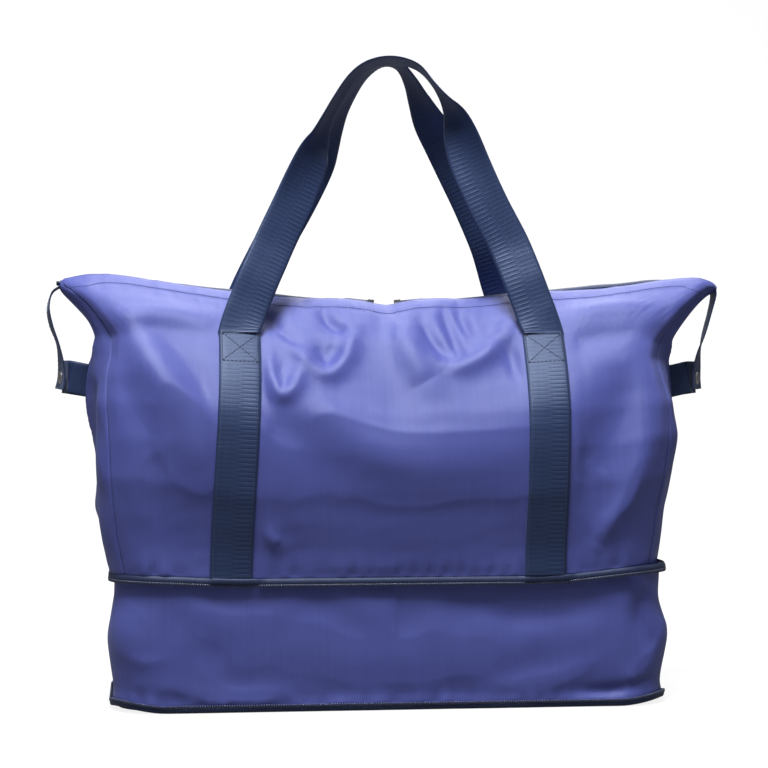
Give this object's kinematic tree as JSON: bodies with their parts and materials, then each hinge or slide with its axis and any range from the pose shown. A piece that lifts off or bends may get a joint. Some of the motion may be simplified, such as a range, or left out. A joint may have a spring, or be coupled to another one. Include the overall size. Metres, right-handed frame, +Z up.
{
  "type": "foldable tote bag",
  "caption": "Soft travel tote with a winged zip top, webbing handles, snapped side straps and a zip-off drop section that makes it taller.",
  "frame": {"origin": "on the floor under the middle of the base", "axes": "+Z up, +X along the bag's length towards its right-hand end as seen from the front, front facing -Y"},
  "size_m": [0.6324, 0.2148, 0.6009],
  "materials": {
    "fabric": "satin",
    "webbing": "satin",
    "tape": "matte",
    "chain": "satin",
    "thread": "matte",
    "snap": "polished",
    "slider": "polished",
    "stiffener": "matte"
  },
  "bodies": {
    "base": {"base_panel": "fabric", "base_stiffener": "stiffener", "drop_tape_lower": "tape", "drop_chain_lower": "chain", "drop_wall_front": "fabric", "drop_wall_back": "fabric"},
    "bag": {"front_panel": "fabric", "back_panel": "fabric", "left_gusset": "fabric", "right_gusset": "fabric", "top_tape_front": "tape", "top_tape_back": "tape", "top_chain_front": "chain", "top_chain_back": "chain", "zip_end_left": "tape", "zip_end_right": "tape", "strap_run_front_left": "webbing", "strap_run_front_right": "webbing", "strap_run_back_left": "webbing", "strap_run_back_right": "webbing", "stitching_front": "thread", "stitching_back": "thread", "side_tab_left": "webbing", "side_tab_right": "webbing", "snap_stud_left": "snap", "snap_stud_right": "snap", "snap_post_left": "snap", "snap_post_right": "snap", "drop_tape_upper": "tape", "drop_chain_upper": "chain"},
    "handle_front": {"handle_front": "webbing"},
    "handle_back": {"handle_back": "webbing"},
    "side_strap_left": {"side_strap_left": "webbing", "snap_cap_left": "snap", "snap_socket_left": "snap"},
    "side_strap_right": {"side_strap_right": "webbing", "snap_cap_right": "snap", "snap_socket_right": "snap"},
    "top_slider_left": {"top_slider_left": "slider"},
    "top_slider_right": {"top_slider_right": "slider"},
    "top_pull_left": {"top_pull_left": "slider"},
    "top_pull_right": {"top_pull_right": "slider"},
    "drop_slider": {"drop_slider": "slider"},
    "drop_pull": {"drop_pull": "slider"}
  },
  "joints": [
    {"name": "bag_lower", "type": "slide", "parent": "base", "child": "bag", "axis": [0, 0, -1], "range_m": [0, 0.102], "deforming": ["drop_wall_front", "drop_wall_back"]},
    {"name": "handle_front_fold", "type": "hinge", "parent": "bag", "child": "handle_front", "pos_m": [0, -0.06781, 0.344], "axis": [1, 0, 0], "range_deg": [0, 150]},
    {"name": "handle_back_fold", "type": "hinge", "parent": "bag", "child": "handle_back", "pos_m": [0, 0.06781, 0.344], "axis": [-1, 0, 0], "range_deg": [0, 150]},
    {"name": "side_strap_left_swing", "type": "hinge", "parent": "bag", "child": "side_strap_left", "pos_m": [-0.3154, 0, 0.386], "axis": [0, 1, 0], "range_deg": [0, 80]},
    {"name": "side_strap_right_swing", "type": "hinge", "parent": "bag", "child": "side_strap_right", "pos_m": [0.3154, 0, 0.386], "axis": [0, -1, 0], "range_deg": [0, 80]},
    {"name": "top_slider_left_run", "type": "slide", "parent": "bag", "child": "top_slider_left", "axis": [-0.995, 0, 0.0995], "range_m": [0, 0.229]},
    {"name": "top_slider_right_run", "type": "slide", "parent": "bag", "child": "top_slider_right", "axis": [0.995, 0, 0.0995], "range_m": [0, 0.229]},
    {"name": "top_pull_left_flip", "type": "hinge", "parent": "top_slider_left", "child": "top_pull_left", "pos_m": [-0.01257, 0, 0.37338], "axis": [0, 1, 0], "range_deg": [0, 110]},
    {"name": "top_pull_right_flip", "type": "hinge", "parent": "top_slider_right", "child": "top_pull_right", "pos_m": [0.01257, 0, 0.37338], "axis": [0, -1, 0], "range_deg": [0, 110]},
    {"name": "drop_slider_run", "type": "slide", "parent": "bag", "child": "drop_slider", "axis": [-1, 0, 0], "range_m": [0, 0.37]},
    {"name": "drop_pull_flip", "type": "hinge", "parent": "drop_slider", "child": "drop_pull", "pos_m": [0.17, 0.104, 0.1136], "axis": [0, 0, 1], "range_deg": [0, 180]}
  ]
}
